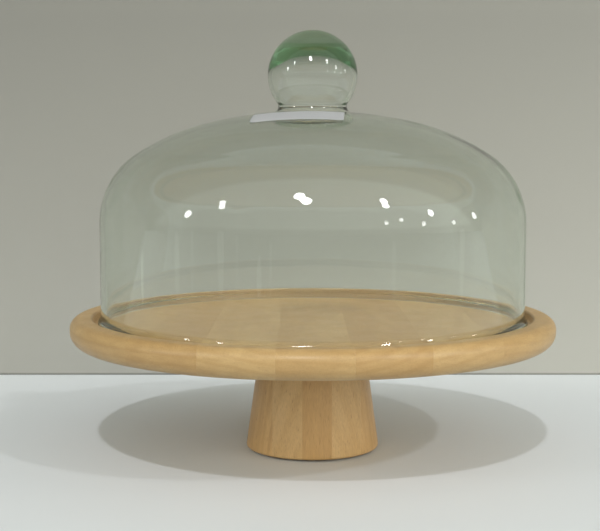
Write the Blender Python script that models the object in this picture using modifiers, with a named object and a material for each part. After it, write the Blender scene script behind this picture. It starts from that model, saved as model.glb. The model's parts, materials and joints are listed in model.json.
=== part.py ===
"""Footed cheese dome: a blown glass cloche with a hollow knob, on a stave-glued wooden plate and pedestal.

Z points up, the origin is under the middle of the foot and the glass lifts straight off along Z.
The boards of the plate run front to back, along Y, and the boards of the pedestal stand upright.
"""

import math

import bmesh
import bpy

MM = 0.001

# Gaps that stand for touching faces.
GLUE_LINE = 0.2 * MM
SEAT_GAP = 0.3 * MM
HOLE_MARGIN = 0.2 * MM

# Foot pads.
PAD_COUNT = 4
PAD_RADIUS = 6.5 * MM
PAD_THICKNESS = 1.0 * MM
PAD_EDGE = 0.25 * MM
PAD_CIRCLE = 30.0 * MM

# Pedestal.
PEDESTAL_BOTTOM = PAD_THICKNESS + GLUE_LINE
PEDESTAL_TOP = 68.0 * MM
PEDESTAL_FOOT_RADIUS = 41.5 * MM
PEDESTAL_TOP_RADIUS = 32.6 * MM
PEDESTAL_FOOT_EDGE = 1.8 * MM
PEDESTAL_TOP_EDGE = 0.5 * MM
PEDESTAL_FIRST_JOINT = -24.5 * MM
PEDESTAL_BOARD = 18.0 * MM
PEDESTAL_JOINTS = 4
PEDESTAL_MIDDLE = 2

# Plate.
PLATE_RADIUS = 150.0 * MM
PLATE_BOTTOM = PEDESTAL_TOP + SEAT_GAP
PLATE_THICKNESS = 17.0 * MM
PLATE_TOP = PLATE_BOTTOM + PLATE_THICKNESS
RIM_TOP_ROUND = 6.5 * MM
RIM_BOTTOM_ROUND = 9.2 * MM
RECESS_RADIUS = 136.0 * MM
RECESS_DEPTH = 5.8 * MM
RECESS_FLOOR = PLATE_TOP - RECESS_DEPTH
RECESS_FLOOR_FILLET = 2.0 * MM
RECESS_LIP_ROUND = 1.6 * MM
PLATE_BOARD = 41.0 * MM
PLATE_JOINTS = 6
PLATE_MIDDLE = 3

# Screw fixing between pedestal and plate.
INSERT_RADIUS = 6.0 * MM
INSERT_LENGTH = 8.5 * MM
INSERT_FLANGE_RADIUS = 8.0 * MM
INSERT_FLANGE = 1.0 * MM
INSERT_EDGE = 0.4 * MM
SCREW_RADIUS = 4.0 * MM
SCREW_WOOD_RADIUS = 3.6 * MM
SCREW_IN_PLATE = 7.4 * MM
SCREW_IN_PEDESTAL = 34.0 * MM
SCREW_TIP = 5.0 * MM
SCREW_TIP_RADIUS = 1.0 * MM
SCREW_EDGE = 0.6 * MM

# Glass dome. Heights of the glass are measured from the underside of its foot.
DOME_FOOT = RECESS_FLOOR + SEAT_GAP
GLASS_WALL = 2.8 * MM
FOOT_BEAD = 2.3 * MM
FOOT_FLARE = 6.0 * MM
CROWN_TOP = 131.6 * MM
CROWN_RADIUS = 285.0 * MM
HAUNCH_RADIUS = 145.0 * MM
SHOULDER_RADIUS = 50.0 * MM
CROWN_SLOPE = math.radians(12.0)
HAUNCH_SLOPE = math.radians(33.3)
NECK_RADIUS = 21.2 * MM
NECK_WALL = 1.9 * MM
NECK_FILLET = 3.5 * MM
NECK_FILLET_INSIDE = 5.0 * MM
KNOB_RADIUS = 27.7 * MM
KNOB_HEIGHT = 153.2 * MM
KNOB_WALL = 2.4 * MM
KNOB_CAP = 10.7 * MM
KNOB_FILLET = 2.5 * MM
KNOB_FILLET_INSIDE = 5.0 * MM

# Paper label on the crown, in front of the knob.
LABEL_WIDTH = 54.0 * MM
LABEL_DEPTH = 33.0 * MM
LABEL_CORNER = 2.5 * MM
LABEL_THICKNESS = 0.2 * MM
LABEL_X = -9.0 * MM
LABEL_Y = -45.0 * MM
LABEL_TURN = math.radians(-3.0)
LABEL_COLUMNS = 8
LABEL_ROWS = 5
LABEL_CORNER_STEPS = 3

PLATE_STEPS = 64
PEDESTAL_STEPS = 48
GLASS_STEPS = 60
SCREW_STEPS = 24
PAD_STEPS = 32
MERGE = 0.01 * MM
CLEAR = 5.0 * MM


def clear_scene():
    for obj in list(bpy.data.objects):
        bpy.data.objects.remove(obj)


def make_collection(name):
    made = bpy.data.collections.new(name)
    bpy.context.scene.collection.children.link(made)
    return made


def make_material(name, colour, roughness, metallic=0.0, transmission=0.0, ior=1.5):
    material = bpy.data.materials.new(name)
    material.use_nodes = True
    shader = material.node_tree.nodes["Principled BSDF"]
    shader.inputs["Base Color"].default_value = (*colour, 1.0)
    shader.inputs["Roughness"].default_value = roughness
    shader.inputs["Metallic"].default_value = metallic
    shader.inputs["Transmission Weight"].default_value = transmission
    shader.inputs["IOR"].default_value = ior
    material.diffuse_color = (*colour, 1.0)
    material.roughness = roughness
    material.metallic = metallic
    return material


def arc(centre, radius, start, end, steps):
    """Points of an arc in the profile plane, from one angle to another."""
    points = []
    for step in range(steps + 1):
        angle = start + (end - start) * step / steps
        points.append((centre[0] + radius * math.cos(angle), centre[1] + radius * math.sin(angle)))
    return points


def turned(name, profile, steps, material, collection, closed=False):
    """A turned body: the profile holds (radius, height) points and is swept once round Z."""
    mesh = bpy.data.meshes.new(name)
    vertices = [(radius, 0.0, height) for radius, height in profile]
    edges = [(i, i + 1) for i in range(len(profile) - 1)]
    if closed:
        edges.append((len(profile) - 1, 0))
    mesh.from_pydata(vertices, edges, [])
    obj = bpy.data.objects.new(name, mesh)
    collection.objects.link(obj)
    screw = obj.modifiers.new("turn", "SCREW")
    screw.axis = "Z"
    screw.steps = steps
    screw.render_steps = steps
    screw.use_merge_vertices = True
    screw.merge_threshold = MERGE
    screw.use_smooth_shade = True
    mesh.materials.append(material)
    return obj


def box_cutter(name, low, high, collection):
    """A hidden box that spans two opposite corners."""
    mesh = bpy.data.meshes.new(name)
    shape = bmesh.new()
    bmesh.ops.create_cube(shape, size=1.0)
    for vertex in shape.verts:
        for axis in range(3):
            middle = (low[axis] + high[axis]) / 2
            vertex.co[axis] = middle + vertex.co[axis] * (high[axis] - low[axis])
    shape.to_mesh(mesh)
    shape.free()
    return hidden(name, mesh, collection)


def drill_cutter(name, radius, low, high, collection):
    """A hidden upright cylinder on the Z axis."""
    mesh = bpy.data.meshes.new(name)
    shape = bmesh.new()
    bmesh.ops.create_cone(
        shape, cap_ends=True, segments=SCREW_STEPS, radius1=radius, radius2=radius, depth=high - low
    )
    bmesh.ops.translate(shape, verts=shape.verts, vec=(0.0, 0.0, (high + low) / 2))
    shape.to_mesh(mesh)
    shape.free()
    return hidden(name, mesh, collection)


def hidden(name, mesh, collection):
    obj = bpy.data.objects.new(name, mesh)
    obj.hide_render = True
    obj.display_type = "WIRE"
    collection.objects.link(obj)
    return obj


def cut(obj, cutter, operation):
    modifier = obj.modifiers.new(cutter.name, "BOOLEAN")
    modifier.operation = operation
    modifier.solver = "EXACT"
    modifier.object = cutter


def split_into_boards(prefix, profile, steps, joints, reach, materials, collection, cutters):
    """Turns the profile once for each board and keeps the slab of it that lies between two glue joints."""
    edges = [-reach, *joints, reach]
    heights = [height for _, height in profile]
    low, high = min(heights) - CLEAR, max(heights) + CLEAR
    boards = []
    for number, (left, right) in enumerate(zip(edges, edges[1:]), start=1):
        board = turned(
            f"{prefix}_{number}", profile, steps, materials[(number - 1) % len(materials)], collection
        )
        left_face = left + GLUE_LINE / 2 if left > -reach else left
        right_face = right - GLUE_LINE / 2 if right < reach else right
        slab = box_cutter(f"{prefix}_{number}_slab", (left_face, -reach, low), (right_face, reach, high), cutters)
        cut(board, slab, "INTERSECT")
        boards.append(board)
    return boards


def plate_profile():
    lip_edge = RECESS_RADIUS + RECESS_LIP_ROUND
    points = [(0.0, RECESS_FLOOR)]
    points += arc(
        (RECESS_RADIUS - RECESS_FLOOR_FILLET, RECESS_FLOOR + RECESS_FLOOR_FILLET),
        RECESS_FLOOR_FILLET, math.radians(-90), 0.0, 3,
    )
    points += arc((lip_edge, PLATE_TOP - RECESS_LIP_ROUND), RECESS_LIP_ROUND, math.pi, math.radians(90), 3)
    points += arc(
        (PLATE_RADIUS - RIM_TOP_ROUND, PLATE_TOP - RIM_TOP_ROUND), RIM_TOP_ROUND, math.radians(90), 0.0, 6
    )
    points += arc(
        (PLATE_RADIUS - RIM_BOTTOM_ROUND, PLATE_BOTTOM + RIM_BOTTOM_ROUND),
        RIM_BOTTOM_ROUND, 0.0, math.radians(-90), 6,
    )
    points.append((0.0, PLATE_BOTTOM))
    return points


def pedestal_profile():
    points = [(0.0, PEDESTAL_TOP), (PEDESTAL_TOP_RADIUS - PEDESTAL_TOP_EDGE, PEDESTAL_TOP)]
    points.append((PEDESTAL_TOP_RADIUS, PEDESTAL_TOP - PEDESTAL_TOP_EDGE))
    points += arc(
        (PEDESTAL_FOOT_RADIUS - PEDESTAL_FOOT_EDGE, PEDESTAL_BOTTOM + PEDESTAL_FOOT_EDGE),
        PEDESTAL_FOOT_EDGE, 0.0, math.radians(-90), 4,
    )
    points.append((0.0, PEDESTAL_BOTTOM))
    return points


def crown_arcs(inset):
    """(centre, radius, first slope, last slope) of the crown, haunch and shoulder, at a depth into the glass."""
    crown = (0.0, CROWN_TOP - CROWN_RADIUS)
    haunch = (
        crown[0] + (CROWN_RADIUS - HAUNCH_RADIUS) * math.sin(CROWN_SLOPE),
        crown[1] + (CROWN_RADIUS - HAUNCH_RADIUS) * math.cos(CROWN_SLOPE),
    )
    shoulder = (
        haunch[0] + (HAUNCH_RADIUS - SHOULDER_RADIUS) * math.sin(HAUNCH_SLOPE),
        haunch[1] + (HAUNCH_RADIUS - SHOULDER_RADIUS) * math.cos(HAUNCH_SLOPE),
    )
    return (
        (crown, CROWN_RADIUS - inset, 0.0, CROWN_SLOPE),
        (haunch, HAUNCH_RADIUS - inset, CROWN_SLOPE, HAUNCH_SLOPE),
        (shoulder, SHOULDER_RADIUS - inset, HAUNCH_SLOPE, math.radians(90)),
    )


def crown_height(radius):
    """Height of the outer glass above its foot, at a distance from the axis inside the shoulder."""
    crown, haunch, _ = crown_arcs(0.0)
    (centre, bend, _, last) = crown
    if radius > bend * math.sin(last):
        (centre, bend, _, last) = haunch
    return centre[1] + math.sqrt(bend**2 - (radius - centre[0]) ** 2)


def glass_skin(inset, neck_radius, neck_fillet, ball_radius, ball_fillet, steps):
    """One face of the glass from the side of the knob down to the foot of the wall."""
    knob_centre = (0.0, KNOB_HEIGHT)
    reach = ball_radius + ball_fillet
    ball_fillet_radius = neck_radius + ball_fillet
    drop = math.sqrt(reach**2 - ball_fillet_radius**2)
    under_ball = math.atan2(drop, ball_fillet_radius)
    arcs = crown_arcs(inset)
    crown_centre, crown_radius, _, crown_end = arcs[0]
    neck_slope = math.asin((neck_radius + neck_fillet) / (crown_radius + neck_fillet))
    neck_centre = (
        neck_radius + neck_fillet,
        crown_centre[1] + (crown_radius + neck_fillet) * math.cos(neck_slope),
    )
    points = arc(knob_centre, ball_radius, 0.0, -under_ball, steps["ball"])
    points += arc(
        (ball_fillet_radius, KNOB_HEIGHT - drop), ball_fillet, math.pi - under_ball, math.pi, steps["fillet"]
    )
    points += arc(neck_centre, neck_fillet, math.pi, math.radians(270) - neck_slope, steps["fillet"])
    points += arc(
        crown_centre, crown_radius, math.radians(90) - neck_slope, math.radians(90) - crown_end, steps["crown"]
    )[1:]
    for key, (centre, radius, first, last) in zip(("haunch", "shoulder"), arcs[1:]):
        points += arc(centre, radius, math.radians(90) - first, math.radians(90) - last, steps[key])[1:]
    return points


def glass_foot(wall_radius):
    """The lower edge, outside to inside: a flare, then a round bead flush with the inner face."""
    bead_radius = wall_radius - GLASS_WALL + FOOT_BEAD
    reach = GLASS_WALL + FOOT_FLARE - FOOT_BEAD
    rise = math.sqrt((FOOT_BEAD + FOOT_FLARE) ** 2 - reach**2)
    lean = math.atan2(rise, reach)
    points = arc((bead_radius + reach, FOOT_BEAD + rise), FOOT_FLARE, math.pi, math.pi + lean, 3)
    points += arc((bead_radius, FOOT_BEAD), FOOT_BEAD, lean, -math.pi, 8)[1:]
    return points


def glass_profile():
    steps = {"ball": 3, "fillet": 3, "crown": 2, "haunch": 4, "shoulder": 7}
    outer = arc((0.0, KNOB_HEIGHT), KNOB_RADIUS, math.radians(90), 0.0, 7)[:-1]
    outer += glass_skin(0.0, NECK_RADIUS, NECK_FILLET, KNOB_RADIUS, KNOB_FILLET, steps)
    inner = glass_skin(
        GLASS_WALL, NECK_RADIUS - NECK_WALL, NECK_FILLET_INSIDE,
        KNOB_RADIUS - KNOB_WALL, KNOB_FILLET_INSIDE, steps,
    )
    ceiling = KNOB_RADIUS - KNOB_CAP
    cavity = [
        (radius, KNOB_HEIGHT + height * ceiling / (KNOB_RADIUS - KNOB_WALL))
        for radius, height in arc((0.0, 0.0), KNOB_RADIUS - KNOB_WALL, math.radians(90), 0.0, 6)
    ][:-1]
    profile = outer + glass_foot(outer[-1][0]) + inner[::-1] + cavity[::-1]
    profile[0] = (0.0, profile[0][1])
    profile[-1] = (0.0, profile[-1][1])
    return profile


def insert_profile():
    top = PLATE_BOTTOM + INSERT_LENGTH
    bottom = PLATE_BOTTOM
    bore = SCREW_RADIUS + HOLE_MARGIN
    return [
        (bore, top),
        (INSERT_RADIUS - INSERT_EDGE, top),
        (INSERT_RADIUS, top - INSERT_EDGE),
        (INSERT_RADIUS, bottom + INSERT_FLANGE),
        (INSERT_FLANGE_RADIUS, bottom + INSERT_FLANGE),
        (INSERT_FLANGE_RADIUS, bottom + INSERT_EDGE),
        (INSERT_FLANGE_RADIUS - INSERT_EDGE, bottom),
        (bore, bottom),
    ]


def screw_profile():
    top = PLATE_BOTTOM + SCREW_IN_PLATE
    tip = PEDESTAL_TOP - SCREW_IN_PEDESTAL
    return [
        (0.0, top),
        (SCREW_RADIUS - SCREW_EDGE, top),
        (SCREW_RADIUS, top - SCREW_EDGE),
        (SCREW_RADIUS, PEDESTAL_TOP - SCREW_EDGE),
        (SCREW_WOOD_RADIUS, PEDESTAL_TOP - SCREW_RADIUS),
        (SCREW_WOOD_RADIUS, tip + SCREW_TIP),
        (SCREW_TIP_RADIUS, tip),
        (0.0, tip),
    ]


def pad_profile():
    return [
        (0.0, PAD_THICKNESS),
        (PAD_RADIUS - PAD_EDGE, PAD_THICKNESS),
        (PAD_RADIUS, PAD_THICKNESS - PAD_EDGE),
        (PAD_RADIUS, PAD_EDGE),
        (PAD_RADIUS - PAD_EDGE, 0.0),
        (0.0, 0.0),
    ]


def label_rows():
    """(offset from the middle, half width) of each row of the label, closer together in its round corners."""
    straight = LABEL_DEPTH / 2 - LABEL_CORNER
    rows = []
    for step in range(LABEL_CORNER_STEPS):
        angle = math.radians(90) * (1 - step / LABEL_CORNER_STEPS)
        trim = LABEL_CORNER * (1 - math.cos(angle))
        rows.append((straight + LABEL_CORNER * math.sin(angle), LABEL_WIDTH / 2 - trim))
    for step in range(LABEL_ROWS + 1):
        rows.append((straight - 2 * straight * step / LABEL_ROWS, LABEL_WIDTH / 2))
    rows += [(-offset, half) for offset, half in reversed(rows[:LABEL_CORNER_STEPS])]
    return rows


def make_label(material, collection):
    """A sheet that follows the glass, thickened away from it."""
    name = "price_label"
    shape = bmesh.new()
    grid = []
    for offset, half in label_rows():
        row = []
        for column in range(LABEL_COLUMNS + 1):
            across = half * (2 * column / LABEL_COLUMNS - 1)
            x = LABEL_X + across * math.cos(LABEL_TURN) - offset * math.sin(LABEL_TURN)
            y = LABEL_Y + across * math.sin(LABEL_TURN) + offset * math.cos(LABEL_TURN)
            row.append(shape.verts.new((x, y, crown_height(math.hypot(x, y)) + GLUE_LINE)))
        grid.append(row)
    for back, front in zip(grid, grid[1:]):
        for column in range(LABEL_COLUMNS):
            shape.faces.new((front[column], front[column + 1], back[column + 1], back[column]))
    mesh = bpy.data.meshes.new(name)
    shape.to_mesh(mesh)
    shape.free()
    mesh.materials.append(material)
    mesh.shade_smooth()
    label = bpy.data.objects.new(name, mesh)
    collection.objects.link(label)
    solidify = label.modifiers.new("paper", "SOLIDIFY")
    solidify.thickness = LABEL_THICKNESS
    solidify.offset = 1.0
    return label


def build():
    clear_scene()
    parts = make_collection("cheese_dome")
    cutters = make_collection("cutters")
    plate_woods = [
        make_material("plate_wood_light", (0.60, 0.40, 0.20), 0.38),
        make_material("plate_wood_warm", (0.52, 0.33, 0.15), 0.38),
        make_material("plate_wood_pale", (0.64, 0.44, 0.24), 0.38),
    ]
    pedestal_woods = [
        make_material("pedestal_wood_warm", (0.44, 0.27, 0.13), 0.42),
        make_material("pedestal_wood_light", (0.54, 0.35, 0.18), 0.42),
    ]
    glass = make_material("green_tinted_glass", (0.90, 0.95, 0.90), 0.02, transmission=1.0)
    paper = make_material("white_paper", (0.85, 0.86, 0.88), 0.60)
    brass = make_material("brass", (0.72, 0.55, 0.26), 0.35, metallic=1.0)
    steel = make_material("zinc_plated_steel", (0.62, 0.63, 0.65), 0.35, metallic=1.0)
    rubber = make_material("black_rubber", (0.03, 0.03, 0.03), 0.80)

    pedestal_joints = [PEDESTAL_FIRST_JOINT + PEDESTAL_BOARD * i for i in range(PEDESTAL_JOINTS)]
    pedestal = split_into_boards(
        "pedestal_board", pedestal_profile(), PEDESTAL_STEPS, pedestal_joints,
        PEDESTAL_FOOT_RADIUS + CLEAR, pedestal_woods, parts, cutters,
    )
    plate_joints = [PLATE_BOARD * (i - (PLATE_JOINTS - 1) / 2) for i in range(PLATE_JOINTS)]
    plate = split_into_boards(
        "plate_board", plate_profile(), PLATE_STEPS, plate_joints,
        PLATE_RADIUS + CLEAR, plate_woods, parts, cutters,
    )

    screw_hole = drill_cutter(
        "screw_hole", SCREW_RADIUS + HOLE_MARGIN,
        PEDESTAL_TOP - SCREW_IN_PEDESTAL - HOLE_MARGIN, PEDESTAL_TOP + CLEAR, cutters,
    )
    cut(pedestal[PEDESTAL_MIDDLE], screw_hole, "DIFFERENCE")
    insert_hole = drill_cutter(
        "insert_hole", INSERT_RADIUS + HOLE_MARGIN,
        PLATE_BOTTOM - CLEAR, PLATE_BOTTOM + INSERT_LENGTH + HOLE_MARGIN, cutters,
    )
    cut(plate[PLATE_MIDDLE], insert_hole, "DIFFERENCE")
    flange_seat = drill_cutter(
        "insert_flange_seat", INSERT_FLANGE_RADIUS + HOLE_MARGIN,
        PLATE_BOTTOM - CLEAR, PLATE_BOTTOM + INSERT_FLANGE + HOLE_MARGIN, cutters,
    )
    cut(plate[PLATE_MIDDLE], flange_seat, "DIFFERENCE")
    turned("threaded_insert", insert_profile(), SCREW_STEPS, brass, parts, closed=True)
    turned("hanger_screw", screw_profile(), SCREW_STEPS, steel, parts)

    for number in range(PAD_COUNT):
        angle = math.radians(360) * (number + 0.5) / PAD_COUNT
        pad = turned(f"foot_pad_{number + 1}", pad_profile(), PAD_STEPS, rubber, parts)
        pad.location = (PAD_CIRCLE * math.cos(angle), PAD_CIRCLE * math.sin(angle), 0.0)

    dome = turned("glass_dome", glass_profile(), GLASS_STEPS, glass, parts)
    dome.location = (0.0, 0.0, DOME_FOOT)
    label = make_label(paper, parts)
    label.parent = dome


build()
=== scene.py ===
"""Looks of the footed cheese dome: blown green glass on a plate and a pedestal glued up from light hardwood.

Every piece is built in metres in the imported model's frame and rides on the body that the model gives it.
"""

import json
import math
import random

import bmesh
import bpy
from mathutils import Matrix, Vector

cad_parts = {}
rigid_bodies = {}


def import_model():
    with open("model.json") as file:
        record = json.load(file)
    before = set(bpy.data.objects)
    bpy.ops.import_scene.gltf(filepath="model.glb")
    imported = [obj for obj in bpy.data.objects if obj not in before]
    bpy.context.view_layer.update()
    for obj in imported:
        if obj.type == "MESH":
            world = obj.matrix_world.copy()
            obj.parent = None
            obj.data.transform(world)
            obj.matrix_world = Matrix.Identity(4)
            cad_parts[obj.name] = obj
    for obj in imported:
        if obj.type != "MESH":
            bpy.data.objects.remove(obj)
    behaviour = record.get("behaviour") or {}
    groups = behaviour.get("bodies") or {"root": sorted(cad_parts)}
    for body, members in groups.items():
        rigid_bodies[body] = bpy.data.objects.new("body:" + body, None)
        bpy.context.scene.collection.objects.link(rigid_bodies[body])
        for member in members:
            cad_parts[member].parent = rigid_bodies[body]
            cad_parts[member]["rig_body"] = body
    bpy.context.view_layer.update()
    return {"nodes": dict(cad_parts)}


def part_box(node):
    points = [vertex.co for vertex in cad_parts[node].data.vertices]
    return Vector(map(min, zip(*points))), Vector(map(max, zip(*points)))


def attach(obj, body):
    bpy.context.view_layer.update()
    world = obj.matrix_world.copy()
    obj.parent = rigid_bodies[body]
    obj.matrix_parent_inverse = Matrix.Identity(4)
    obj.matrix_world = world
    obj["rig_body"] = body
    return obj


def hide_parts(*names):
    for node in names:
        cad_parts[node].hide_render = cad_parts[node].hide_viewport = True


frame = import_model()

MM = 0.001

# Plate, turned from boards that run front to back.
PLATE_BOARDS = 7
RIM_TOP_ROUND = 6.5 * MM
RIM_BOTTOM_ROUND = 9.2 * MM
RECESS_RADIUS = 136.0 * MM
RECESS_DEPTH = 5.8 * MM
RECESS_FLOOR_FILLET = 2.0 * MM
RECESS_LIP_ROUND = 1.6 * MM

# Pedestal, a cone turned from upright boards.
PEDESTAL_BOARDS = 5
PEDESTAL_TOP_RADIUS = 32.6 * MM
PEDESTAL_FOOT_EDGE = 1.8 * MM
PEDESTAL_TOP_EDGE = 0.5 * MM

# Fixing: a hanger screw in the pedestal and a threaded insert in the plate.
BORE_MARGIN = 0.2 * MM
INSERT_FLANGE = 1.0 * MM
INSERT_BODY_RADIUS = 6.0 * MM
INSERT_EDGE = 0.4 * MM
INSERT_THREAD_PITCH = 2.0 * MM
INSERT_THREAD_DEPTH = 0.6 * MM
INSERT_BORE_RADIUS = 4.2 * MM
INSERT_THREAD_RUNOUT = 0.5 * MM
SCREW_EDGE = 0.5 * MM
SCREW_MACHINE_PITCH = 1.25 * MM
SCREW_MACHINE_DEPTH = 0.6 * MM
SCREW_MACHINE_START = 0.6 * MM
SCREW_MACHINE_RUNOUT = 1.0 * MM
SCREW_SHANK_BELOW_PLATE = 2.0 * MM
SCREW_WOOD_PITCH = 3.0 * MM
SCREW_WOOD_RADIUS = 3.6 * MM
SCREW_WOOD_DEPTH = 1.0 * MM
SCREW_WOOD_START = 3.0 * MM
SCREW_POINT = 5.0 * MM
SCREW_POINT_RADIUS = 0.6 * MM
PAD_EDGE = 0.35 * MM
PADS = 4

# Glass. Heights are measured from the underside of its foot.
GLASS_WALL = 2.8 * MM
FOOT_BEAD = 2.3 * MM
FOOT_FLARE = 6.0 * MM
CROWN_TOP = 131.6 * MM
CROWN_RADIUS = 285.0 * MM
HAUNCH_RADIUS = 145.0 * MM
SHOULDER_RADIUS = 50.0 * MM
CROWN_SLOPE = math.radians(12.0)
HAUNCH_SLOPE = math.radians(33.3)
NECK_RADIUS = 21.2 * MM
NECK_WALL = 1.9 * MM
NECK_FILLET = 3.5 * MM
NECK_FILLET_INSIDE = 5.0 * MM
KNOB_RADIUS = 27.7 * MM
KNOB_HEIGHT = 153.2 * MM
KNOB_WALL = 2.4 * MM
KNOB_CAP = 10.7 * MM
KNOB_FILLET = 2.5 * MM
KNOB_FILLET_INSIDE = 5.0 * MM
WAVE_HEIGHT = 0.018 * MM
WAVE_COUNTS = (5, 9, 14, 23, 31)
WAVE_BAND = 0.6 * GLASS_WALL
WAVE_SEED = 11

# Label.
LABEL_SIZE = (54.0 * MM, 33.0 * MM)
LABEL_CENTRE = (-9.0 * MM, -45.0 * MM)
LABEL_TURN = math.radians(-3.0)
LABEL_CORNER = 2.5 * MM
LABEL_GAP = 0.05 * MM
LABEL_THICKNESS = 0.15 * MM

# How finely the pieces are divided. Each arc is given its own number of steps where it is drawn.
TURNED_STEPS = 256
SMALL_STEPS = 64
WALL_STEPS = 9
SCREW_STEPS = 220
INSERT_STEPS = 60
LABEL_COLUMNS = 54
LABEL_ROWS = 33
JOINT_HAIRLINE = 0.02 * MM
SHARP_ANGLE = math.radians(32.0)
ON_THE_AXIS = 1e-7


def arc(centre, radius, start, end, steps):
    """Points of an arc in the profile plane, from one angle to another."""
    points = []
    for step in range(steps + 1):
        angle = start + (end - start) * step / steps
        points.append((centre[0] + radius * math.cos(angle), centre[1] + radius * math.sin(angle)))
    return points


def link(name, mesh, material):
    mesh.materials.clear()
    mesh.materials.append(material)
    obj = bpy.data.objects.new(name, mesh)
    bpy.context.scene.collection.objects.link(obj)
    return obj


def stand_for(obj, node):
    """Shows obj in place of a CAD node, on that node's body."""
    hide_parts(node)
    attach(obj, frame["nodes"][node]["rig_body"])


def turn(profile, steps, closed, radius_at=None):
    """A bmesh swept once round Z. radius_at may shift a point's radius by its angle and place."""
    shape = bmesh.new()
    rings = []
    for radius, height in profile:
        if radius < ON_THE_AXIS:
            rings.append([shape.verts.new((0.0, 0.0, height))] * steps)
            continue
        ring = []
        for step in range(steps):
            angle = 2 * math.pi * step / steps
            reach = radius + (radius_at(radius, height, angle) if radius_at else 0.0)
            ring.append(shape.verts.new((reach * math.cos(angle), reach * math.sin(angle), height)))
        rings.append(ring)
    pairs = list(zip(rings, rings[1:]))
    if closed:
        pairs.append((rings[-1], rings[0]))
    for upper, lower in pairs:
        for step in range(steps):
            after = (step + 1) % steps
            corners = []
            for vertex in (upper[step], lower[step], lower[after], upper[after]):
                if vertex not in corners:
                    corners.append(vertex)
            if len(corners) > 2:
                shape.faces.new(corners)
    bmesh.ops.recalc_face_normals(shape, faces=shape.faces)
    return shape


def to_mesh(name, shape):
    mesh = bpy.data.meshes.new(name)
    shape.to_mesh(mesh)
    shape.free()
    mesh.shade_smooth()
    mesh.set_sharp_from_angle(angle=SHARP_ANGLE)
    return mesh


def keep_side(shape, x, direction):
    """Cuts a closed bmesh at a plane across X, keeps one side and caps the cut."""
    geometry = shape.verts[:] + shape.edges[:] + shape.faces[:]
    made = bmesh.ops.bisect_plane(
        shape, geom=geometry, plane_co=(x, 0.0, 0.0), plane_no=(direction, 0.0, 0.0), clear_inner=True
    )
    edges = [item for item in made["geom_cut"] if isinstance(item, bmesh.types.BMEdge)]
    bmesh.ops.triangle_fill(shape, edges=edges, use_beauty=True, use_dissolve=False)
    bmesh.ops.recalc_face_normals(shape, faces=shape.faces)


def joint_between(left, right):
    return (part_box(left)[1].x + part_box(right)[0].x) / 2


def turned_boards(stem, count, profile, slots, make_material):
    """The turned outline sawn at each glue joint, one piece for each board."""
    joints = [joint_between(f"{stem}_{n}", f"{stem}_{n + 1}") for n in range(1, count)]
    for number in range(1, count + 1):
        shape = turn(profile, TURNED_STEPS, closed=True)
        if number > 1:
            keep_side(shape, joints[number - 2] + JOINT_HAIRLINE / 2, 1.0)
        if number < count:
            keep_side(shape, joints[number - 1] - JOINT_HAIRLINE / 2, -1.0)
        slot = slots[(number - 1) % len(slots)]
        name = f"turned_{stem}_{number}"
        board = link(name, to_mesh(name, shape), make_material(number, slot))
        stand_for(board, f"{stem}_{number}")


def plate_profile():
    low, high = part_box("plate_board_4")
    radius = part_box("plate_board_7")[1].x
    floor = high.z - RECESS_DEPTH
    insert_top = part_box("threaded_insert")[1].z + BORE_MARGIN
    flange_top = low.z + INSERT_FLANGE + BORE_MARGIN
    bore = INSERT_BODY_RADIUS + BORE_MARGIN
    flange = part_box("threaded_insert")[1].x + BORE_MARGIN
    points = [(0.0, floor)]
    points += arc(
        (RECESS_RADIUS - RECESS_FLOOR_FILLET, floor + RECESS_FLOOR_FILLET),
        RECESS_FLOOR_FILLET, math.radians(-90), 0.0, 8,
    )
    points += arc(
        (RECESS_RADIUS + RECESS_LIP_ROUND, high.z - RECESS_LIP_ROUND),
        RECESS_LIP_ROUND, math.pi, math.radians(90), 8,
    )
    points += arc((radius - RIM_TOP_ROUND, high.z - RIM_TOP_ROUND), RIM_TOP_ROUND, math.radians(90), 0.0, 16)
    points += arc(
        (radius - RIM_BOTTOM_ROUND, low.z + RIM_BOTTOM_ROUND), RIM_BOTTOM_ROUND, 0.0, math.radians(-90), 16
    )
    points += [
        (flange, low.z), (flange, flange_top), (bore, flange_top), (bore, insert_top), (0.0, insert_top),
    ]
    return points


def pedestal_profile():
    low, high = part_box("pedestal_board_3")
    foot_radius = high.y
    screw_low, screw_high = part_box("hanger_screw")
    bore = screw_high.x + BORE_MARGIN
    bore_floor = screw_low.z - BORE_MARGIN
    points = [(PEDESTAL_TOP_RADIUS - PEDESTAL_TOP_EDGE, high.z)]
    points += arc(
        (PEDESTAL_TOP_RADIUS - PEDESTAL_TOP_EDGE, high.z - PEDESTAL_TOP_EDGE),
        PEDESTAL_TOP_EDGE, math.radians(90), 0.0, 4,
    )[1:]
    points += arc(
        (foot_radius - PEDESTAL_FOOT_EDGE, low.z + PEDESTAL_FOOT_EDGE),
        PEDESTAL_FOOT_EDGE, 0.0, math.radians(-90), 10,
    )
    points += [(0.0, low.z), (0.0, bore_floor), (bore, bore_floor), (bore, high.z)]
    return points


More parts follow.
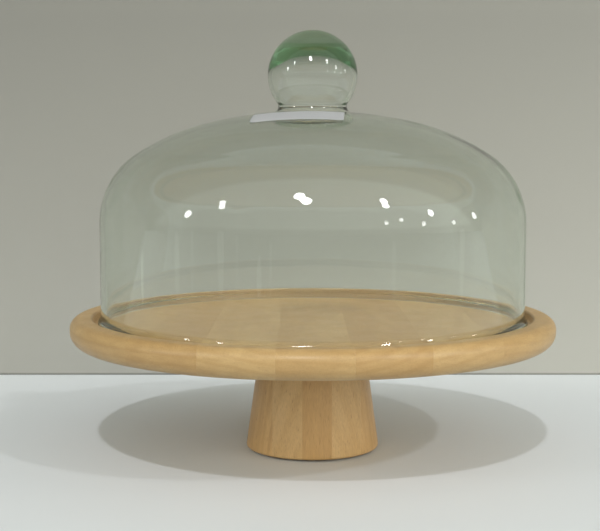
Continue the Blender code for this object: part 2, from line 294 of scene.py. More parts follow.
def crown_arcs(inset):
    """Crown, haunch and shoulder at a depth into the glass: centre, radius, first slope and last slope."""
    crown = (0.0, CROWN_TOP - CROWN_RADIUS)
    haunch = (
        crown[0] + (CROWN_RADIUS - HAUNCH_RADIUS) * math.sin(CROWN_SLOPE),
        crown[1] + (CROWN_RADIUS - HAUNCH_RADIUS) * math.cos(CROWN_SLOPE),
    )
    shoulder = (
        haunch[0] + (HAUNCH_RADIUS - SHOULDER_RADIUS) * math.sin(HAUNCH_SLOPE),
        haunch[1] + (HAUNCH_RADIUS - SHOULDER_RADIUS) * math.cos(HAUNCH_SLOPE),
    )
    return (
        (crown, CROWN_RADIUS - inset, 0.0, CROWN_SLOPE),
        (haunch, HAUNCH_RADIUS - inset, CROWN_SLOPE, HAUNCH_SLOPE),
        (shoulder, SHOULDER_RADIUS - inset, HAUNCH_SLOPE, math.radians(90)),
    )


def crown_height(radius):
    """Height of the outer glass above its foot, at a distance from the axis inside the shoulder."""
    crown, haunch, _ = crown_arcs(0.0)
    centre, bend, _, last = crown
    if radius > bend * math.sin(last):
        centre, bend, _, _ = haunch
    return centre[1] + math.sqrt(bend**2 - (radius - centre[0]) ** 2)


def glass_skin(inset, neck_radius, neck_fillet, ball_radius, ball_fillet):
    """One face of the glass from the side of the knob down to the foot of the wall."""
    reach = ball_radius + ball_fillet
    ball_fillet_radius = neck_radius + ball_fillet
    drop = math.sqrt(reach**2 - ball_fillet_radius**2)
    under_ball = math.atan2(drop, ball_fillet_radius)
    arcs = crown_arcs(inset)
    crown_centre, crown_radius, _, crown_end = arcs[0]
    neck_slope = math.asin((neck_radius + neck_fillet) / (crown_radius + neck_fillet))
    neck_centre = (
        neck_radius + neck_fillet,
        crown_centre[1] + (crown_radius + neck_fillet) * math.cos(neck_slope),
    )
    points = arc((0.0, KNOB_HEIGHT), ball_radius, 0.0, -under_ball, 20)
    points += arc((ball_fillet_radius, KNOB_HEIGHT - drop), ball_fillet, math.pi - under_ball, math.pi, 8)
    points += arc(neck_centre, neck_fillet, math.pi, math.radians(270) - neck_slope, 10)
    points += arc(
        crown_centre, crown_radius, math.radians(90) - neck_slope, math.radians(90) - crown_end, 12
    )[1:]
    for steps, (centre, radius, first, last) in zip((16, 28), arcs[1:]):
        points += arc(centre, radius, math.radians(90) - first, math.radians(90) - last, steps)[1:]
    wall = points[-1]
    for step in range(1, WALL_STEPS):
        points.append((wall[0], wall[1] + (foot_height() - wall[1]) * step / WALL_STEPS))
    return points


def flare_reach():
    """How far the centre of the foot's flare lies outside the centre of its bead."""
    return GLASS_WALL + FOOT_FLARE - FOOT_BEAD


def foot_height():
    """Height above the foot at which the flare runs out into the wall."""
    return FOOT_BEAD + math.sqrt((FOOT_BEAD + FOOT_FLARE) ** 2 - flare_reach() ** 2)


def glass_foot(wall_radius):
    """The lower edge, outside to inside: a flare, then a round bead flush with the inner face."""
    bead_radius = wall_radius - GLASS_WALL + FOOT_BEAD
    lean = math.atan2(foot_height() - FOOT_BEAD, flare_reach())
    points = arc((bead_radius + flare_reach(), foot_height()), FOOT_FLARE, math.pi, math.pi + lean, 14)
    points += arc((bead_radius, FOOT_BEAD), FOOT_BEAD, lean, -math.pi, 32)[1:]
    return points


def glass_profile(foot):
    outer = arc((0.0, KNOB_HEIGHT), KNOB_RADIUS, math.radians(90), 0.0, 32)[:-1]
    outer += glass_skin(0.0, NECK_RADIUS, NECK_FILLET, KNOB_RADIUS, KNOB_FILLET)
    inner = glass_skin(
        GLASS_WALL, NECK_RADIUS - NECK_WALL, NECK_FILLET_INSIDE, KNOB_RADIUS - KNOB_WALL, KNOB_FILLET_INSIDE
    )
    hollow = KNOB_RADIUS - KNOB_WALL
    ceiling = KNOB_RADIUS - KNOB_CAP
    cavity = [
        (radius, KNOB_HEIGHT + height * ceiling / hollow)
        for radius, height in arc((0.0, 0.0), hollow, math.radians(90), 0.0, 28)
    ][:-1]
    profile = outer + glass_foot(outer[-1][0]) + inner[::-1] + cavity[::-1]
    profile[0] = (0.0, profile[0][1])
    profile[-1] = (0.0, profile[-1][1])
    return [(radius, height + foot) for radius, height in profile]


def glass_foot_height():
    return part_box("glass_dome")[1].z - KNOB_HEIGHT - KNOB_RADIUS


def glass_waves(foot):
    """Slight unevenness of the wall's inner face, and of the shoulder where it is as wide as that face."""
    chooser = random.Random(WAVE_SEED)
    waves = [(count, chooser.uniform(0, 2 * math.pi), chooser.uniform(0.4, 1.0)) for count in WAVE_COUNTS]
    inner_radius = max(radius for radius, _ in glass_profile(foot)) - 2 * FOOT_BEAD

    def shift(radius, height, angle):
        if abs(radius - inner_radius) > WAVE_BAND or height < foot + foot_height():
            return 0.0
        return WAVE_HEIGHT * sum(size * math.sin(count * angle + start) for count, start, size in waves)

    return shift


def build_glass(material):
    foot = glass_foot_height()
    shape = turn(glass_profile(foot), TURNED_STEPS, closed=False, radius_at=glass_waves(foot))
    dome = link("blown_glass_dome", to_mesh("blown_glass_dome", shape), material)
    # Lamps shine straight through: a refracted shadow would leave the plate under the glass too dark.
    dome.visible_shadow = False
    stand_for(dome, "glass_dome")


def build_label(material):
    """A stuck-on sheet that follows the crown of the glass."""
    foot = glass_foot_height()
    half_width, half_depth = LABEL_SIZE[0] / 2, LABEL_SIZE[1] / 2
    shape = bmesh.new()
    grid = []
    for row in range(LABEL_ROWS + 1):
        offset = half_depth * (1 - 2 * row / LABEL_ROWS)
        into_corner = max(0.0, abs(offset) - (half_depth - LABEL_CORNER))
        trim = LABEL_CORNER - math.sqrt(max(0.0, LABEL_CORNER**2 - into_corner**2))
        line = []
        for column in range(LABEL_COLUMNS + 1):
            across = (half_width - trim) * (2 * column / LABEL_COLUMNS - 1)
            x = LABEL_CENTRE[0] + across * math.cos(LABEL_TURN) - offset * math.sin(LABEL_TURN)
            y = LABEL_CENTRE[1] + across * math.sin(LABEL_TURN) + offset * math.cos(LABEL_TURN)
            height = foot + crown_height(math.hypot(x, y)) + LABEL_GAP
            line.append(shape.verts.new((x, y, height)))
        grid.append(line)
    for back, front in zip(grid, grid[1:]):
        for column in range(LABEL_COLUMNS):
            shape.faces.new((front[column], front[column + 1], back[column + 1], back[column]))
    mesh = bpy.data.meshes.new("paper_label")
    shape.to_mesh(mesh)
    shape.free()
    mesh.shade_smooth()
    label = link("paper_label", mesh, material)
    solidify = label.modifiers.new("paper", "SOLIDIFY")
    solidify.thickness = LABEL_THICKNESS
    solidify.offset = 1.0
    stand_for(label, "price_label")


def thread_shift(pitch, depth, top, bottom):
    """Radius shift of a helical V thread between two heights."""

    def shift(radius, height, angle):
        if not bottom < height < top:
            return 0.0
        place = (height / pitch - angle / (2 * math.pi)) % 1.0
        return -depth * (1 - abs(2 * place - 1))

    return shift


def build_screw(material):
    low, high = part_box("hanger_screw")
    radius = high.x
    plate_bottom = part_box("plate_board_4")[0].z
    middle = plate_bottom - SCREW_SHANK_BELOW_PLATE
    points = [(0.0, high.z), (radius - SCREW_EDGE, high.z)]
    for row in range(SCREW_STEPS + 1):
        height = high.z - SCREW_EDGE + (low.z - high.z + SCREW_EDGE) * row / SCREW_STEPS
        if height > middle:
            points.append((radius, height))
        elif height > low.z + SCREW_POINT:
            points.append((SCREW_WOOD_RADIUS, height))
        else:
            share = (height - low.z) / SCREW_POINT
            points.append((SCREW_POINT_RADIUS + share * (SCREW_WOOD_RADIUS - SCREW_POINT_RADIUS), height))
    points.append((0.0, low.z))
    machine_thread = thread_shift(
        SCREW_MACHINE_PITCH, SCREW_MACHINE_DEPTH, high.z - SCREW_MACHINE_START, middle + SCREW_MACHINE_RUNOUT
    )
    wood_thread = thread_shift(
        SCREW_WOOD_PITCH, SCREW_WOOD_DEPTH, middle - SCREW_WOOD_START, low.z + SCREW_POINT
    )

    def shift(radius_here, height, angle):
        return machine_thread(radius_here, height, angle) + wood_thread(radius_here, height, angle)

    shape = turn(points, SMALL_STEPS, closed=False, radius_at=shift)
    screw = link("threaded_hanger_screw", to_mesh("threaded_hanger_screw", shape), material)
    stand_for(screw, "hanger_screw")


def build_insert(material):
    low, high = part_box("threaded_insert")
    body_top = high.z - INSERT_EDGE
    body_bottom = low.z + INSERT_FLANGE
    points = [(INSERT_BORE_RADIUS, high.z), (INSERT_BODY_RADIUS - INSERT_EDGE, high.z)]
    for row in range(INSERT_STEPS + 1):
        points.append((INSERT_BODY_RADIUS, body_top + (body_bottom - body_top) * row / INSERT_STEPS))
    points += [
        (high.x, body_bottom), (high.x, low.z + INSERT_EDGE), (high.x - INSERT_EDGE, low.z),
        (INSERT_BORE_RADIUS, low.z),
    ]
    thread = thread_shift(
        INSERT_THREAD_PITCH, INSERT_THREAD_DEPTH, body_top, body_bottom + INSERT_THREAD_RUNOUT
    )

    def shift(radius, height, angle):
        on_the_bore = radius < (INSERT_BORE_RADIUS + INSERT_BODY_RADIUS) / 2
        return 0.0 if on_the_bore else thread(radius, height, angle)

    shape = turn(points, SMALL_STEPS, closed=True, radius_at=shift)
    insert = link("brass_threaded_insert", to_mesh("brass_threaded_insert", shape), material)
    stand_for(insert, "threaded_insert")


def build_pads(material):
    for number in range(1, PADS + 1):
        low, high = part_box(f"foot_pad_{number}")
        radius = (high.x - low.x) / 2
        points = [(0.0, high.z)]
        points += arc((radius - PAD_EDGE, high.z - PAD_EDGE), PAD_EDGE, math.radians(90), 0.0, 6)
        points += arc((radius - PAD_EDGE, low.z + PAD_EDGE), PAD_EDGE, 0.0, math.radians(-90), 6)
        points.append((0.0, low.z))
        shape = turn(points, SMALL_STEPS, closed=False)
        bmesh.ops.translate(shape, verts=shape.verts, vec=((low.x + high.x) / 2, (low.y + high.y) / 2, 0.0))
        name = f"rubber_foot_pad_{number}"
        pad = link(name, to_mesh(name, shape), material)
        stand_for(pad, f"foot_pad_{number}")


# Materials. Colours are linear, texture scales count per metre, and bump distances are real heights.

# Places of a colour Mix node's sockets: factor, first and second colour, and the result.
MIX_INPUTS = (0, 6, 7)
MIX_RESULT = 2

# Wood. Each slot has a light and a dark tone.
WOOD_TONES = {
    "plate_wood_light": ((0.462, 0.310, 0.135), (0.378, 0.234, 0.091)),
    "plate_wood_warm": ((0.453, 0.298, 0.126), (0.364, 0.220, 0.083)),
    "plate_wood_pale": ((0.475, 0.324, 0.145), (0.392, 0.246, 0.099)),
    "pedestal_wood_warm": ((0.600, 0.386, 0.172), (0.495, 0.295, 0.113)),
    "pedestal_wood_light": ((0.635, 0.428, 0.207), (0.535, 0.340, 0.143)),
}
STREAK_DARKNESS = 0.86
PORE_COLOUR = (0.235, 0.125, 0.050)
PORE_STRENGTH = 0.42
# Painted shade in the plate's recess: the colour it darkens towards, and how far.
RECESS_SHADE_COLOUR = (0.165, 0.098, 0.046)
RECESS_SHADE_STRENGTH = 0.62
PITH_DISTANCES = (0.09, 0.16)
# Angles: the pith's swing from straight above or below, and the grain's wander from the board's length.
PITH_SWING = 0.35
GRAIN_DRIFT = 0.05
# Shares to which coordinates shrink along the grain, and across the board for rings, clouds and streaks.
GRAIN_STRETCH = 0.07
PORE_STRETCH = 0.045
RING_FLATNESS = 0.35
RING_SCALE = 62.0
RING_DISTORTION = 5.0
CLOUD_SCALE = 55.0
STREAK_SCALE = 320.0
FIBRE_SCALE = 1900.0
PORE_SCALE = 1500.0
SMEAR_SCALE = 60.0
VARNISH_ROUGHNESS = (0.44, 0.56)
VARNISH_GLOSS = 0.35
VARNISH_COAT = 0.3
VARNISH_COAT_ROUGHNESS = 0.28
PLATE_SEED = 100
PEDESTAL_SEED = 200

# Glass, paper, rubber and metals.
GLASS_IOR = 1.5
GLASS_ABSORPTION_COLOUR = (0.05, 0.42, 0.06, 1.0)
GLASS_ABSORPTION_DENSITY = 25.0
GLASS_SMUDGE_ROUGHNESS = 0.015
# Label paper, greyer than white paper: painted shade over the whole label.
PAPER_COLOURS_IN_PAINTED_SHADE = ((0.39, 0.398, 0.42), (0.445, 0.453, 0.478))
RUBBER_COLOURS = ((0.022, 0.022, 0.023), (0.045, 0.044, 0.043))
STEEL_COLOUR = (0.62, 0.63, 0.65)
STEEL_ROUGHNESS = 0.35
BRASS_COLOUR = (0.72, 0.55, 0.26)
BRASS_ROUGHNESS = 0.33
METAL_GRAIN_SCALE = 300.0


def new_material(name):
    material = bpy.data.materials.new(name)
    material.use_nodes = True
    return material, material.node_tree, material.node_tree.nodes["Principled BSDF"]


def add(tree, kind, settings=None, values=None, links=None):
    """A new node with its settings, input values and incoming links."""
    node = tree.nodes.new(kind)
    for key, value in (settings or {}).items():
        setattr(node, key, value)
    for key, value in (values or {}).items():
        node.inputs[key].default_value = value
    for key, source in (links or {}).items():
        tree.links.new(source, node.inputs[key])
    return node


def object_place(tree):
    return add(tree, "ShaderNodeTexCoord").outputs["Object"]


def moved(tree, place, location=(0, 0, 0), rotation=(0, 0, 0), scale=(1, 1, 1)):
    node = add(
        tree, "ShaderNodeMapping",
        values={"Location": location, "Rotation": rotation, "Scale": scale}, links={"Vector": place},
    )
    return node.outputs["Vector"]


def noise(tree, place, scale, detail, roughness):
    node = add(
        tree, "ShaderNodeTexNoise",
        values={"Scale": scale, "Detail": detail, "Roughness": roughness}, links={"Vector": place},
    )
    return node.outputs["Fac"]


def spread(tree, value, low, high, to_low, to_high):
    """Maps a range of values onto another, held at its ends."""
    node = add(
        tree, "ShaderNodeMapRange",
        values={"From Min": low, "From Max": high, "To Min": to_low, "To Max": to_high},
        links={"Value": value},
    )
    return node.outputs["Result"]


def mixed(tree, factor, first, second, blend="MIX"):
    """Two colours mixed by a factor. Each of the three is a value or a node's output."""
    node = add(tree, "ShaderNodeMix", {"data_type": "RGBA", "blend_type": blend})
    for key, value in zip(MIX_INPUTS, (factor, first, second)):
        if isinstance(value, bpy.types.NodeSocket):
            tree.links.new(value, node.inputs[key])
        elif isinstance(value, tuple):
            node.inputs[key].default_value = (*value, 1.0)
        else:
            node.inputs[key].default_value = value
    return node.outputs[MIX_RESULT]


def maths(tree, operation, first, second):
    node = add(tree, "ShaderNodeMath", {"operation": operation})
    for key, value in enumerate((first, second)):
        if isinstance(value, bpy.types.NodeSocket):
            tree.links.new(value, node.inputs[key])
        else:
            node.inputs[key].default_value = value
    return node.outputs[0]


def grey(tree, value):
    return add(
        tree, "ShaderNodeCombineColor", links={"Red": value, "Green": value, "Blue": value}
    ).outputs["Color"]


def length_of(tree, vector):
    return add(tree, "ShaderNodeVectorMath", {"operation": "LENGTH"}, links={0: vector}).outputs["Value"]


def bump(tree, shader, height, strength, distance):
    node = add(
        tree, "ShaderNodeBump", values={"Strength": strength, "Distance": distance}, links={"Height": height}
    )
    tree.links.new(node.outputs["Normal"], shader.inputs["Normal"])


def recess_shade_mask(tree):
    """Where painted shade darkens the upright edge of the plate's recess and the corner under it."""
    parts = add(tree, "ShaderNodeSeparateXYZ", links={"Vector": object_place(tree)})
    flat = add(tree, "ShaderNodeCombineXYZ", links={"X": parts.outputs["X"], "Y": parts.outputs["Y"]})
    radius = length_of(tree, flat.outputs["Vector"])
    inside = spread(tree, radius, RECESS_RADIUS - 3 * MM, RECESS_RADIUS - 0.5 * MM, 0.0, 1.0)
    outside = spread(tree, radius, RECESS_RADIUS + 0.3 * MM, RECESS_RADIUS + 1.8 * MM, 1.0, 0.0)
    return maths(tree, "MULTIPLY", maths(tree, "MULTIPLY", inside, outside), RECESS_SHADE_STRENGTH)


def wood(name, slot, turn_to_grain, chooser, paint_recess_shade=False):
    """Light hardwood under satin varnish: rings round a distant pith, fibre streaks and short dark pores.

    The pith lies well above or below the face, as in flat-sawn boards, so the rings cross the board's end as
    shallow arcs.
    """
    material, tree, shader = new_material(name)
    light, dark = WOOD_TONES[slot]
    pith_angle = chooser.choice((-1, 1)) * math.radians(90) + chooser.uniform(-PITH_SWING, PITH_SWING)
    pith_distance = chooser.uniform(*PITH_DISTANCES)
    drift = (chooser.uniform(-GRAIN_DRIFT, GRAIN_DRIFT), chooser.uniform(-GRAIN_DRIFT, GRAIN_DRIFT), 0.0)
    offset = (
        pith_distance * math.cos(pith_angle), pith_distance * math.sin(pith_angle), chooser.uniform(-1.0, 1.0)
    )
    rotation = tuple(a + b for a, b in zip(turn_to_grain, drift))
    along = moved(tree, object_place(tree), offset, rotation)
    stretched = moved(tree, along, scale=(1.0, 1.0, GRAIN_STRETCH))
    flat = moved(tree, along, scale=(RING_FLATNESS, 1.0, GRAIN_STRETCH))
    rings = add(
        tree, "ShaderNodeTexWave",
        {"wave_type": "RINGS", "rings_direction": "Z", "wave_profile": "SIN"},
        {
            "Scale": RING_SCALE, "Distortion": RING_DISTORTION,
            "Detail": 3.0, "Detail Scale": 0.5, "Detail Roughness": 0.55,
        },
        {"Vector": flat},
    ).outputs["Fac"]
    late_wood = spread(tree, rings, 0.55, 1.0, 0.0, 0.5)
    clouds = spread(tree, noise(tree, flat, CLOUD_SCALE, 3.0, 0.6), 0.35, 0.68, 0.0, 0.8)
    streaks = spread(tree, noise(tree, flat, STREAK_SCALE, 3.0, 0.65), 0.42, 0.78, 0.0, 0.55)
    fibres = noise(tree, stretched, FIBRE_SCALE, 2.0, 0.6)
    long_pores = moved(tree, along, scale=(1.0, 1.0, PORE_STRETCH))
    pores = spread(tree, noise(tree, long_pores, PORE_SCALE, 1.0, 0.5), 0.66, 0.74, 0.0, 1.0)

    colour = mixed(tree, clouds, light, dark)
    colour = mixed(tree, late_wood, colour, dark)
    colour = mixed(tree, streaks, colour, tuple(STREAK_DARKNESS * part for part in dark))
    fibre_shade = grey(tree, spread(tree, fibres, 0.3, 0.7, 0.90, 1.06))
    colour = mixed(tree, 1.0, colour, fibre_shade, "MULTIPLY")
    colour = mixed(tree, maths(tree, "MULTIPLY", pores, PORE_STRENGTH), colour, PORE_COLOUR)
    # Painted shade on the upright edge of the plate's recess and in the corner under it.
    if paint_recess_shade:
        colour = mixed(tree, recess_shade_mask(tree), colour, RECESS_SHADE_COLOUR)
    tree.links.new(colour, shader.inputs["Base Color"])

    smears = noise(tree, object_place(tree), SMEAR_SCALE, 3.0, 0.6)
    tree.links.new(spread(tree, smears, 0.3, 0.7, *VARNISH_ROUGHNESS), shader.inputs["Roughness"])
    shader.inputs["Specular IOR Level"].default_value = VARNISH_GLOSS
    shader.inputs["Coat Weight"].default_value = VARNISH_COAT
    shader.inputs["Coat Roughness"].default_value = VARNISH_COAT_ROUGHNESS
    height = maths(tree, "SUBTRACT", maths(tree, "MULTIPLY", fibres, 0.25), pores)
    bump(tree, shader, height, 0.25, 0.08 * MM)
    return material


def plate_wood(number, slot):
    """Boards that run along Y: their grain is turned upright before the rings are drawn round it."""
    chooser = random.Random(PLATE_SEED + number)
    # The plate's boards carry painted shade in their recess.
    return wood(f"plate_board_{number}_wood", slot, (math.radians(90), 0.0, 0.0), chooser, paint_recess_shade=True)


def pedestal_wood(number, slot):
    """Upright boards, with their grain along Z."""
    return wood(f"pedestal_board_{number}_wood", slot, (0.0, 0.0, 0.0), random.Random(PEDESTAL_SEED + number))


def blown_glass():
    """Clear glass whose green comes from absorption, so that thick parts are greener."""
    material, tree, shader = new_material("green_tinted_blown_glass")
    shader.inputs["Base Color"].default_value = (1.0, 1.0, 1.0, 1.0)
    shader.inputs["Transmission Weight"].default_value = 1.0
    shader.inputs["IOR"].default_value = GLASS_IOR
    place = object_place(tree)
    smudges = noise(tree, place, 24.0, 4.0, 0.65)
    tree.links.new(spread(tree, smudges, 0.45, 0.75, 0.0, GLASS_SMUDGE_ROUGHNESS), shader.inputs["Roughness"])
    waves = noise(tree, moved(tree, place, scale=(1.0, 1.0, 0.5)), 16.0, 1.0, 0.5)
    bump(tree, shader, waves, 0.12, 2.0 * MM)
    absorption = add(
        tree, "ShaderNodeVolumeAbsorption",
        values={"Color": GLASS_ABSORPTION_COLOUR, "Density": GLASS_ABSORPTION_DENSITY},
    )
    tree.links.new(absorption.outputs["Volume"], tree.nodes["Material Output"].inputs["Volume"])
    return material


def paper():
    material, tree, shader = new_material("white_label_paper")
    place = object_place(tree)
    pulp = noise(tree, place, 900.0, 3.0, 0.6)
    # Greyed paper colours: painted shade over the label.
    colour = mixed(tree, spread(tree, pulp, 0.3, 0.7, 0.0, 1.0), *PAPER_COLOURS_IN_PAINTED_SHADE)
    tree.links.new(colour, shader.inputs["Base Color"])
    tree.links.new(spread(tree, pulp, 0.3, 0.7, 0.55, 0.68), shader.inputs["Roughness"])
    bump(tree, shader, pulp, 0.2, 0.1 * MM)
    return material


def metal(name, colour, roughness):
    material, tree, shader = new_material(name)
    place = object_place(tree)
    marks = noise(tree, moved(tree, place, scale=(1.0, 1.0, 6.0)), METAL_GRAIN_SCALE, 3.0, 0.6)
    darker = tuple(0.8 * part for part in colour)
    tree.links.new(mixed(tree, marks, darker, colour), shader.inputs["Base Color"])
    uneven = spread(tree, marks, 0.3, 0.7, roughness - 0.08, roughness + 0.1)
    tree.links.new(uneven, shader.inputs["Roughness"])
    shader.inputs["Metallic"].default_value = 1.0
    bump(tree, shader, marks, 0.2, 0.05 * MM)
    return material


def rubber():
    material, tree, shader = new_material("black_foot_rubber")
    place = object_place(tree)
    grain = noise(tree, place, 1400.0, 2.0, 0.6)
    tree.links.new(mixed(tree, grain, *RUBBER_COLOURS), shader.inputs["Base Color"])
    tree.links.new(spread(tree, grain, 0.3, 0.7, 0.72, 0.88), shader.inputs["Roughness"])
    bump(tree, shader, grain, 0.4, 0.1 * MM)
    return material


# Stage, light and camera.

FLOOR_SIZE = 6.0
WALL_Y = 0.256
WALL_SIZE = (6.0, 3.0)
FLOOR_COLOUR = (0.675, 0.710, 0.742)
FAR_FLOOR_COLOUR = (0.10, 0.105, 0.085)
FAR_FLOOR_DISTANCES = (0.4, 1.3)
FAR_FLOOR_FORWARD = -0.6
FAR_FLOOR_STRENGTH = 0.85
FLOOR_ROUGHNESS = 0.55
FLOOR_GLOSS = 0.3
WALL_COLOUR = (0.368, 0.365, 0.332)
# Painted shade on the backdrop: darker higher up and far above the view, darker to the left and lighter to
# the right, and a painted shadow line along the floor.
WALL_SHADE_HEIGHTS = (0.03, 0.29)
WALL_SHADES = (0.95, 0.64)
WALL_SIDE_PLACES = (-0.25, 0.25)
WALL_SIDE_SHADES = (0.91, 1.09)
WALL_TOP_HEIGHTS = (0.32, 0.55)
WALL_TOP_SHADE = 0.4
CREASE_HEIGHTS = (0.8 * MM, 2.0 * MM)
CREASE_SHADE = 0.5
WALL_ROUGHNESS = 0.8
CAMERA_PLACE = (-0.0078, -0.7746, 0.1855)
CAMERA_DOWN = math.radians(5.183)
CAMERA_LENS = 74.62
CAMERA_SENSOR = 36.0
# The front of the glass: the lights face it, and their places are measured from it.
SHOULDER = Vector((0.0, -0.12, 0.15))
LAMP_DISTANCE = 6.0
GLINT_DISTANCE = 2.2
LAMP_COLOUR = (0.985, 0.99, 1.0)
FILL_COLOUR = (1.0, 0.947, 0.835)
LAMPS = (
    # name, azimuth and elevation in degrees, size, power: small and far off, so that shadows are crisp
    ("front_lamp", -6.0, 47.0, 0.22, 115.0),
    ("right_lamp", 44.0, 37.0, 0.22, 60.0),
    ("left_lamp", -53.8, 29.1, 0.36, 20.0),
)
GLINTS = (
    # name, azimuth and elevation in degrees, width, height, power: lamps seen only as reflections
    ("glint_front_upper", -9.2, 45.6, 0.21, 0.33, 7.4),
    ("glint_front_lower", -4.6, 39.6, 0.21, 0.33, 7.4),
    ("glint_right_upper", 42.9, 35.8, 0.15, 0.23, 3.4),
    ("glint_right_lower", 42.0, 30.2, 0.15, 0.23, 3.4),
    ("glint_left_upper", -54.4, 31.3, 0.13, 0.20, 1.5),
    ("glint_left_lower", -53.2, 27.0, 0.13, 0.20, 1.5),
    ("glint_far_left", -70.2, 15.8, 0.15, 0.30, 2.6),
    ("glint_far_right", 65.3, 17.7, 0.13, 0.28, 2.4),
    ("glint_1", 59.1, 6.8, 0.09, 0.18, 0.5),
    ("glint_2", 46.8, 12.6, 0.08, 0.16, 0.4),
    ("glint_3", 38.3, 10.0, 0.09, 0.18, 0.5),
    ("glint_4", 77.7, 6.0, 0.09, 0.18, 0.4),
    ("glint_5", 92.9, 9.8, 0.12, 0.24, 0.9),
    ("glint_6", 106.0, 12.3, 0.12, 0.24, 0.9),
    ("glint_7", 103.3, 5.9, 0.09, 0.16, 0.4),
)
STREAKS = (
    # azimuth in degrees, width, lower and upper end and strength of faint reflections of things in front
    (-101.0, 0.030, 0.005, 0.070, 0.9),
    (-76.0, 0.050, 0.005, 0.110, 0.5),
    (-66.5, 0.024, 0.005, 0.150, 0.3),
    (-50.0, 0.060, 0.005, 0.150, 0.5),
    (-41.0, 0.026, 0.005, 0.100, 0.25),
    (-29.0, 0.040, 0.005, 0.060, 0.6),
    (-23.0, 0.022, 0.005, 0.085, 0.35),
    (43.0, 0.036, 0.005, 0.090, 0.35),
    (84.0, 0.050, 0.005, 0.140, 0.5),
)
STREAK_DISTANCE = 0.9
STREAK_POWER = 2.4
FILLS = (
    # name, azimuth and elevation in degrees, width, height, power: broad and soft, never seen in the glass
    ("soft_fill_front", 22.0, 16.0, 2.4, 0.9, 16.0),
    ("soft_fill_left", -75.0, 20.0, 2.0, 0.9, 10.8),
    ("soft_fill_right", 80.0, 20.0, 2.0, 0.9, 13.4),
)
SHADED_LIGHT = (0.25, 0.255, 0.20)
FRONT_LIGHT = (0.70, 0.73, 0.67)
FRONT_LOW_LIGHT = (0.36, 0.38, 0.33)
SIDE_BRIGHTNESS = (0.72, 1.36)
FRONT_LEAN = 0.35
FRONT_EDGE = (-0.05, 0.03)
FRONT_LOW_EDGE = (0.02, 0.09)
BOUNCES = 40
GLOSSY_BOUNCES = 32
INDIRECT_CLAMP = 6.0


def build_floor():
    """A pale floor that falls off into shade a good way in front of the object."""
    shape = bmesh.new()
    bmesh.ops.create_grid(shape, x_segments=1, y_segments=1, size=FLOOR_SIZE / 2)
    mesh = bpy.data.meshes.new("floor")
    shape.to_mesh(mesh)
    shape.free()
    material, tree, shader = new_material("pale_floor")
    place = object_place(tree)
    parts = add(tree, "ShaderNodeSeparateXYZ", links={"Vector": place})
    distant = spread(tree, length_of(tree, place), *FAR_FLOOR_DISTANCES, 0.0, FAR_FLOOR_STRENGTH)
    in_front = spread(tree, parts.outputs["Y"], FAR_FLOOR_FORWARD, 0.0, 1.0, 0.0)
    colour = mixed(tree, maths(tree, "MULTIPLY", distant, in_front), FLOOR_COLOUR, FAR_FLOOR_COLOUR)
    tree.links.new(colour, shader.inputs["Base Color"])
    shader.inputs["Roughness"].default_value = FLOOR_ROUGHNESS
    shader.inputs["Specular IOR Level"].default_value = FLOOR_GLOSS
    link("floor", mesh, material)


def build_wall():
    """A backdrop, plain but for painted shade, that only shows its front, so that the object can be seen from
    behind.
    """
    half, height = WALL_SIZE[0] / 2, WALL_SIZE[1]
    mesh = bpy.data.meshes.new("backdrop")
    corners = [(-half, WALL_Y, 0.0), (half, WALL_Y, 0.0), (half, WALL_Y, height), (-half, WALL_Y, height)]
    mesh.from_pydata(corners, [], [(0, 1, 2, 3)])
    material, tree, shader = new_material("grey_backdrop")
    parts = add(tree, "ShaderNodeSeparateXYZ", links={"Vector": object_place(tree)})
    # Painted shade: darker upward, to the left and high up, lighter to the right, and a painted shadow line
    # where the backdrop meets the floor.
    upward = spread(tree, parts.outputs["Z"], *WALL_SHADE_HEIGHTS, *WALL_SHADES)
    sideways = spread(tree, parts.outputs["X"], *WALL_SIDE_PLACES, *WALL_SIDE_SHADES)
    crease = spread(tree, parts.outputs["Z"], *CREASE_HEIGHTS, CREASE_SHADE, 1.0)
    high_up = spread(tree, parts.outputs["Z"], *WALL_TOP_HEIGHTS, 1.0, WALL_TOP_SHADE)
    broad_shade = maths(tree, "MULTIPLY", upward, sideways)
    shade = maths(tree, "MULTIPLY", broad_shade, maths(tree, "MULTIPLY", crease, high_up))
    tree.links.new(mixed(tree, 1.0, WALL_COLOUR, grey(tree, shade), "MULTIPLY"), shader.inputs["Base Color"])
    shader.inputs["Roughness"].default_value = WALL_ROUGHNESS
    behind = add(tree, "ShaderNodeNewGeometry").outputs["Backfacing"]
    clear = add(tree, "ShaderNodeBsdfTransparent").outputs["BSDF"]
    either = add(tree, "ShaderNodeMixShader", links={0: behind, 1: shader.outputs["BSDF"], 2: clear})
    tree.links.new(either.outputs["Shader"], tree.nodes["Material Output"].inputs["Surface"])
    link("backdrop", mesh, material)


def area_light(name, place, size, power, shape="ELLIPSE", colour=LAMP_COLOUR, diffuse=True, glossy=True):
    """A light that faces the glass and isn't seen itself or through it, but may be seen in gloss."""
    light = bpy.data.lights.new(name, "AREA")
    light.shape = shape
    light.size, light.size_y = size
    light.energy = power
    light.color = colour
    obj = bpy.data.objects.new(name, light)
    obj.location = place
    obj.rotation_euler = (SHOULDER - Vector(place)).to_track_quat("-Z", "Y").to_euler()
    obj.visible_camera = False
    obj.visible_transmission = False
    obj.visible_diffuse = diffuse
    obj.visible_glossy = glossy
    bpy.context.scene.collection.objects.link(obj)


def lamp_place(azimuth, elevation, distance=GLINT_DISTANCE):
    """A place at an azimuth from straight in front and an elevation, in degrees, seen from the glass."""
    side, up = math.radians(azimuth), math.radians(elevation)
    toward = Vector((math.sin(side) * math.cos(up), -math.cos(side) * math.cos(up), math.sin(up)))
    return SHOULDER + toward * distance


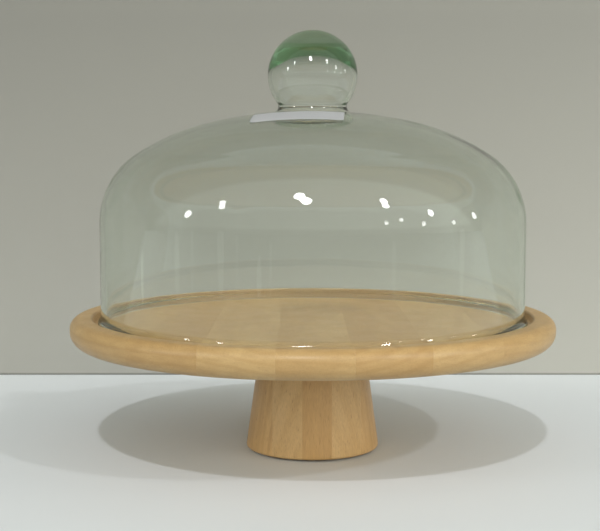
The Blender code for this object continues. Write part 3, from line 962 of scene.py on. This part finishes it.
def build_world():
    """A soft room: bright in front and to the right, shaded overhead and behind, as under an upper shelf."""
    world = bpy.data.worlds.new("soft_room")
    bpy.context.scene.world = world
    world.use_nodes = True
    tree = world.node_tree
    direction = add(tree, "ShaderNodeTexCoord").outputs["Generated"]
    parts = add(tree, "ShaderNodeSeparateXYZ", links={"Vector": direction})
    forward = maths(tree, "MULTIPLY", parts.outputs["Y"], -1.0)
    edge = maths(tree, "SUBTRACT", forward, maths(tree, "MULTIPLY", parts.outputs["Z"], FRONT_LEAN))
    in_front = spread(tree, edge, *FRONT_EDGE, 0.0, 1.0)
    above = spread(tree, parts.outputs["Z"], *FRONT_LOW_EDGE, 0.0, 1.0)
    front = mixed(tree, above, FRONT_LOW_LIGHT, FRONT_LIGHT)
    colour = mixed(tree, in_front, SHADED_LIGHT, front)
    background = tree.nodes["Background"]
    tree.links.new(colour, background.inputs["Color"])
    sideways = spread(tree, parts.outputs["X"], -1.0, 1.0, *SIDE_BRIGHTNESS)
    tree.links.new(sideways, background.inputs["Strength"])


def build_lights():
    """Lamps and fills that light surfaces, and glints and streaks that only show in gloss."""
    for name, azimuth, elevation, size, power in LAMPS:
        place = lamp_place(azimuth, elevation, LAMP_DISTANCE)
        area_light(name, place, (size, size), power, glossy=False)
    for name, azimuth, elevation, width, height, power in GLINTS:
        area_light(name, lamp_place(azimuth, elevation), (width, height), power, diffuse=False)
    for number, (azimuth, width, low, high, strength) in enumerate(STREAKS, start=1):
        place = lamp_place(azimuth, 0.0, STREAK_DISTANCE)
        place.z = (low + high) / 2
        power = STREAK_POWER * strength * width * (high - low)
        area_light(f"streak_{number}", place, (width, high - low), power, diffuse=False)
    for name, azimuth, elevation, width, height, power in FILLS:
        place = lamp_place(azimuth, elevation)
        area_light(name, place, (width, height), power, "RECTANGLE", FILL_COLOUR, glossy=False)


def build_camera():
    camera = bpy.data.cameras.new("camera")
    camera.lens = CAMERA_LENS
    camera.sensor_width = CAMERA_SENSOR
    obj = bpy.data.objects.new("camera", camera)
    obj.location = CAMERA_PLACE
    obj.rotation_euler = (math.radians(90) - CAMERA_DOWN, 0.0, 0.0)
    bpy.context.scene.collection.objects.link(obj)
    bpy.context.scene.camera = obj


turned_boards(
    "plate_board", PLATE_BOARDS, plate_profile(),
    ("plate_wood_light", "plate_wood_warm", "plate_wood_pale"), plate_wood,
)
turned_boards(
    "pedestal_board", PEDESTAL_BOARDS, pedestal_profile(),
    ("pedestal_wood_warm", "pedestal_wood_light"), pedestal_wood,
)
build_glass(blown_glass())
build_label(paper())
build_screw(metal("zinc_plated_steel_finish", STEEL_COLOUR, STEEL_ROUGHNESS))
build_insert(metal("turned_brass", BRASS_COLOUR, BRASS_ROUGHNESS))
build_pads(rubber())
build_floor()
build_wall()
build_world()
build_lights()
build_camera()
bpy.context.scene.view_settings.view_transform = "Standard"
bpy.context.scene.cycles.max_bounces = BOUNCES
bpy.context.scene.cycles.glossy_bounces = GLOSSY_BOUNCES
bpy.context.scene.cycles.transmission_bounces = BOUNCES
bpy.context.scene.cycles.sample_clamp_indirect = INDIRECT_CLAMP
